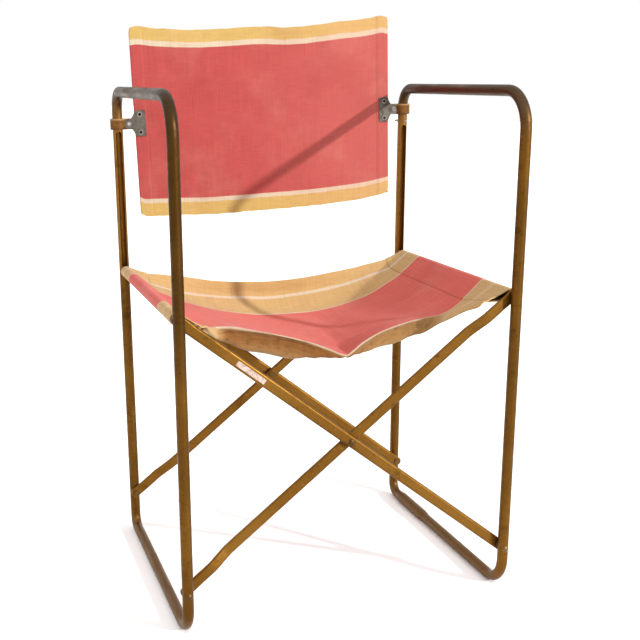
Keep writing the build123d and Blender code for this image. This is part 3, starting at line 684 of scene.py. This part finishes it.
def build_back():
    """The back as a middle and two hems, and the flat size of the whole cloth."""
    seam = BACK_SEAM
    flat = np.linspace(-seam, seam, BACK_COLUMNS)
    round_edge = np.linspace(0, math.pi, 15)
    front = np.linspace(seam + 0.0025, EDGE_X, HEM_COLUMNS)
    back = np.linspace(EDGE_X, seam + 0.001, HEM_COLUMNS)
    edge_x = EDGE_X + HEM_DEPTH * np.sin(round_edge)
    edge_y = -HEM_DEPTH * np.cos(round_edge)
    front_y = np.full(HEM_COLUMNS, -HEM_DEPTH) * smooth((front - seam) / 0.005)
    side_x = np.concatenate([front, edge_x[1:-1], back])
    side_y = np.concatenate([front_y, edge_y[1:-1], np.full(HEM_COLUMNS, HEM_DEPTH)])
    reach = np.concatenate([[0.0025], 0.0025 + np.cumsum(np.hypot(np.diff(side_x), np.diff(side_y)))])
    xs = np.concatenate([-side_x[::-1], flat, side_x])
    offset = np.concatenate([side_y[::-1], np.zeros(len(flat)), side_y])
    across = np.concatenate([-(seam + reach)[::-1], flat, seam + reach])
    v = np.linspace(0, BACK_LENGTH, BACK_ROWS)
    points = np.empty((len(xs), len(v), 3))
    for j, x in enumerate(xs):
        top = BACK_LENGTH / 2 + curve(BACK_TOP, np.array([x]))[0]
        foot = -BACK_LENGTH / 2 + curve(BACK_FOOT, np.array([x]))[0]
        z = foot + (top - foot) * v / BACK_LENGTH
        points[j] = np.stack([np.full_like(z, x), np.full_like(z, offset[j]), z], -1)
    a, b = np.broadcast_arrays(across[:, None], v[None, :])
    middle = smooth((seam - np.abs(a)) / 0.05)
    wave = 0.0022 * ripple(a * 3.2, b * 3.0, 31) + 0.0007 * ripple(a * 14, b * 14, 32)
    ends = np.exp(-b / 0.02) + np.exp(-(BACK_LENGTH - b) / 0.02)
    wave = wave * middle + 0.0012 * ends * ripple(a * 11, b * 5, 33) * smooth((seam - np.abs(a)) / 0.03)
    # the plates draw the cloth into small folds beside them
    pull = np.exp(-(((b - BACK_LENGTH / 2) / 0.03) ** 2)) * np.exp(-((seam - np.abs(a)) / 0.02))
    wave = wave + 0.0006 * pull * smooth((seam - np.abs(a)) / 0.004) * ripple(a * 20, b * 60, 34)
    points[..., 1] += wave
    points[..., 2] += 0.0007 * ripple(a * 25, b * 0.5, 35) * (ends > 0.3) * smooth((seam - np.abs(a)) / 0.01)
    # sheared, and cut in a little at the corners
    points[..., 0] += BACK_SHEAR * (b / BACK_LENGTH - 0.5)
    outer = smooth((np.abs(a) - 0.12) / 0.08)
    upper = np.exp(-(BACK_LENGTH - b) / 0.0028) * np.where(a < 0, 0.0035, 0.0015)
    lower = np.exp(-b / 0.0028) * np.where(a < 0, 0.0010, 0.0040)
    points[..., 0] -= np.sign(a) * outer * (upper + lower)
    points[..., 0], points[..., 2] = leaned(points[..., 0].copy(), points[..., 2].copy())
    points[..., 1] += BACK_Y
    half = np.full(points.shape[:2], CLOTH / 2)
    fold = smooth((HEM_ROW - b) / 0.001) + smooth((b - BACK_LENGTH + HEM_ROW) / 0.001)
    half = half + 0.0004 * fold * smooth((seam - np.abs(a)) / 0.003)
    uv = np.stack([a, b], -1)
    # The hems are pieces of their own, so that they stay with their battens.
    edge = len(side_x)
    left_hem = cloth("back_left_hem", points[:edge + 1], half[:edge + 1], uv[:edge + 1], BACK_CANVAS)
    right_hem = cloth("back_right_hem", points[-edge - 1:], half[-edge - 1:], uv[-edge - 1:], BACK_CANVAS)
    inner, thick, place = points[edge:-edge], half[edge:-edge], uv[edge:-edge]
    tucked = HEM_TUCK / (flat[1] - flat[0])
    middle = cloth(
        "back_sheet", tuck_in(inner, tucked), np.concatenate([thick[:1], thick, thick[-1:]]),
        tuck_in(place, tucked), BACK_CANVAS,
    )
    width = 2 * (seam + reach[-1]) + BACK_SEAM_ALLOWANCE
    return middle, left_hem, right_hem, (width, BACK_LENGTH + END_HEMS)


seat_sheet, seat_flat = build_seat()
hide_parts("seat_canvas")
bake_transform(seat_sheet)

back_sheet, left_hem, right_hem, back_flat = build_back()
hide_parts("back_canvas")
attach(back_sheet, "back_left")
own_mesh(back_sheet)
for hem, body in ((left_hem, "back_left"), (right_hem, "back_right")):
    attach(hem, body)


# ---------------------------------------------------------------- finishes of the CAD pieces
def finish_of(name):
    if "hem_rivets" in name or "strap_rivet" in name:
        return PLATED
    if name.endswith("_strap"):
        return LEATHER[name.split("_")[0]]
    if "plate" in name or "batten" in name:
        return GREY_STEEL
    if any(word in name for word in ("washer", "stud", "stop_pin", "plug", "joint_rivet")):
        return BARE_STEEL
    if "rivet" in name:
        return RIVET_PAINT
    if "side_frame" in name or "joint_sleeve" in name:
        return FRAME_PAINT
    if "label" in name:
        return LABEL_PAPER
    return BAR_PAINT


for name, node in NODES.items():
    node.data.materials.clear()
    node.data.materials.append(finish_of(name))


# ---------------------------------------------------------------- floor, light and camera
def turned(x_axis, y_axis, z_axis, spot=(0, 0, 0)):
    """The matrix of an object with these three axes, at the spot."""
    return Matrix([[x_axis[i], y_axis[i], z_axis[i], spot[i]] for i in range(3)] + [[0, 0, 0, 1]])


floor_mesh = bpy.data.meshes.new("floor")
floor_mesh.from_pydata([(-9, -7, 0), (9, -7, 0), (9, 30, 0), (-9, 30, 0)], [], [(0, 1, 2, 3)])
floor_mesh.materials.append(ground("floor"))
floor = add("floor", floor_mesh)

world = bpy.data.worlds.new("studio")
world.use_nodes = True
world.node_tree.nodes["Background"].inputs[0].default_value = (1, 1, 1, 1)
world.node_tree.nodes["Background"].inputs[1].default_value = 1.0
bpy.context.scene.world = world

key = bpy.data.lights.new("key", "SUN")
key.energy = 3.6
key.angle = math.radians(1.7)
travel = np.array([-0.78, 1.0, -0.47])  # from the front right, down to the rear left
travel /= np.linalg.norm(travel)
side = np.cross(travel, (0, 0, 1))
side /= np.linalg.norm(side)
add("key", key).matrix_world = turned(side, np.cross(side, travel), -travel)
fill = bpy.data.lights.new("fill", "SUN")
fill.energy = 0.9
fill.angle = math.radians(100)
add("fill", fill).rotation_euler = (math.radians(18), math.radians(-14), 0)

# The camera stands in front of the chair's left side, turned to the right and looking down.
CAMERA_SPOT = (-0.5242, -1.5073, 0.756)
yaw, pitch, roll = math.radians(17.414), math.radians(15.938), math.radians(-0.448)
ahead = np.array([math.sin(yaw) * math.cos(pitch), math.cos(yaw) * math.cos(pitch), -math.sin(pitch)])
level = np.array([math.cos(yaw), -math.sin(yaw), 0.0])
over = np.cross(level, ahead)
camera_x = math.cos(roll) * level + math.sin(roll) * over
camera_y = -math.sin(roll) * level + math.cos(roll) * over
camera = bpy.data.cameras.new("camera")
camera.lens = 59.636
camera.sensor_width = 36
camera.shift_x = 0.0703
camera.shift_y = 0.09375
camera.clip_end = 60
camera_object = add("camera", camera)
camera_object.matrix_world = turned(camera_x, camera_y, -ahead, CAMERA_SPOT)
bpy.context.scene.camera = camera_object
bpy.context.scene.view_settings.view_transform = "Standard"
